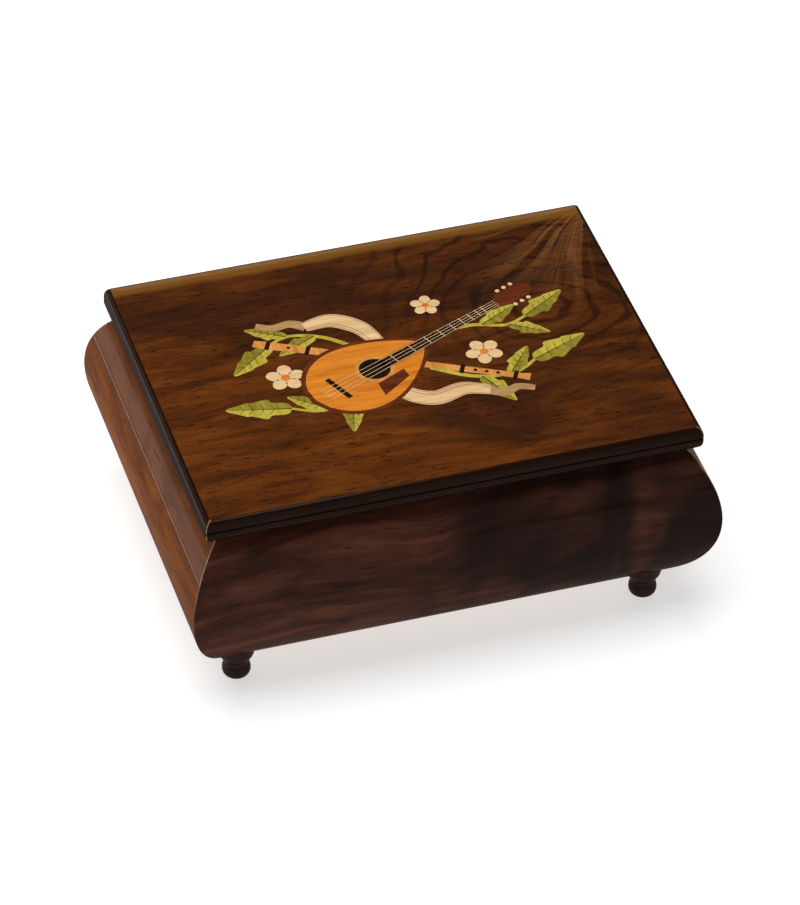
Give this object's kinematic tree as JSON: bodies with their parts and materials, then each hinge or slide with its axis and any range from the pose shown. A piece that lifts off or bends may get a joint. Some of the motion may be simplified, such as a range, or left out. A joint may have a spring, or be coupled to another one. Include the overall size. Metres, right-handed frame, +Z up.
{
  "type": "cylinder music box",
  "caption": "Bellied wooden music box on turned feet with a hinged inlaid lid, a felt-lined compartment and a wind-up movement of comb and pinned cylinder.",
  "frame": {"origin": "on the table, under the middle of the case", "axes": "+X along the front to the right, +Y to the hinged back, +Z up"},
  "size_m": [0.1754, 0.1354, 0.076],
  "materials": {
    "walnut": "gloss lacquer",
    "dark_stained_wood": "gloss lacquer",
    "plywood": "bare",
    "felt": "flocked",
    "clear_pane": "polished",
    "brass": "polished",
    "steel": "ground",
    "zinc_casting": "gilded zinc casting"
  },
  "bodies": {
    "case": {"barrel_bridge": "zinc_casting", "base_board": "plywood", "bed_screw_1": "steel", "bed_screw_2": "steel", "bed_screw_3": "steel", "click": "steel", "comb": "steel", "comb_screw_left": "steel", "comb_screw_right": "steel", "cover_pane": "clear_pane", "foot_front_left": "dark_stained_wood", "foot_front_right": "dark_stained_wood", "foot_rear_left": "dark_stained_wood", "foot_rear_right": "dark_stained_wood", "front_wall": "walnut", "governor_bracket": "zinc_casting", "hinge_left_case_leaf": "brass", "hinge_left_pin": "steel", "hinge_right_case_leaf": "brass", "hinge_right_pin": "steel", "lay_post": "zinc_casting", "ledge_partition": "walnut", "ledge_wall": "walnut", "left_wall": "walnut", "lining_floor": "felt", "lining_front": "felt", "lining_left": "felt", "lining_rear": "felt", "lining_right": "felt", "movement_bed": "zinc_casting", "partition": "walnut", "rear_wall": "walnut", "right_wall": "walnut", "stop_guide": "brass", "stop_spring": "steel"},
    "lid": {"lid_board": "walnut", "lid_lining": "felt", "hinge_left_lid_leaf": "brass", "hinge_right_lid_leaf": "brass"},
    "winding": {"winding_key": "brass", "winding_arbor": "steel", "ratchet_wheel": "steel"},
    "barrel": {"spring_barrel": "brass", "crown_wheel": "brass", "mainspring": "steel"},
    "cylinder": {"pinned_cylinder": "brass", "cylinder_shaft": "steel", "cylinder_pinion": "brass", "cylinder_wheel": "brass"},
    "lay": {"lay_arbor": "brass"},
    "governor": {"worm": "steel", "governor_fan": "brass"},
    "stop": {"stop_rod": "brass"}
  },
  "joints": [
    {"name": "lid_hinge", "type": "hinge", "parent": "case", "child": "lid", "pos_m": [0, 0.06, 0.06765], "axis": [-1, 0, 0], "range_deg": [0, 100]},
    {"name": "key_turn", "type": "hinge", "parent": "case", "child": "winding", "pos_m": [-0.05101, 0.008, 0.013], "axis": [0, 0, 1], "continuous": true},
    {"name": "cylinder_spin", "type": "hinge", "parent": "case", "child": "cylinder", "pos_m": [-0.05101, 0.008, 0.03671], "axis": [1, 0, 0], "continuous": true},
    {"name": "barrel_spin", "type": "hinge", "parent": "case", "child": "barrel", "pos_m": [-0.05101, 0.008, 0.0227], "axis": [0, 0, 1], "continuous": true},
    {"name": "lay_spin", "type": "hinge", "parent": "case", "child": "lay", "pos_m": [-0.05101, 0.018, 0.03671], "axis": [1, 0, 0], "continuous": true},
    {"name": "governor_spin", "type": "hinge", "parent": "case", "child": "governor", "pos_m": [-0.01361, 0.026, 0.03671], "axis": [0, 0, 1], "continuous": true},
    {"name": "stop_slide", "type": "slide", "parent": "case", "child": "stop", "axis": [0, 0, 1], "range_m": [0, 0.00297], "deforming": ["stop_spring"]}
  ],
  "couplings": [
    {"joint": "barrel_spin", "follows": "cylinder_spin", "ratio": 0.375},
    {"joint": "lay_spin", "follows": "cylinder_spin", "ratio": -4},
    {"joint": "governor_spin", "follows": "cylinder_spin", "ratio": 24},
    {"joint": "stop_slide", "follows": "lid_hinge", "m_per_rad": 0.0017}
  ]
}
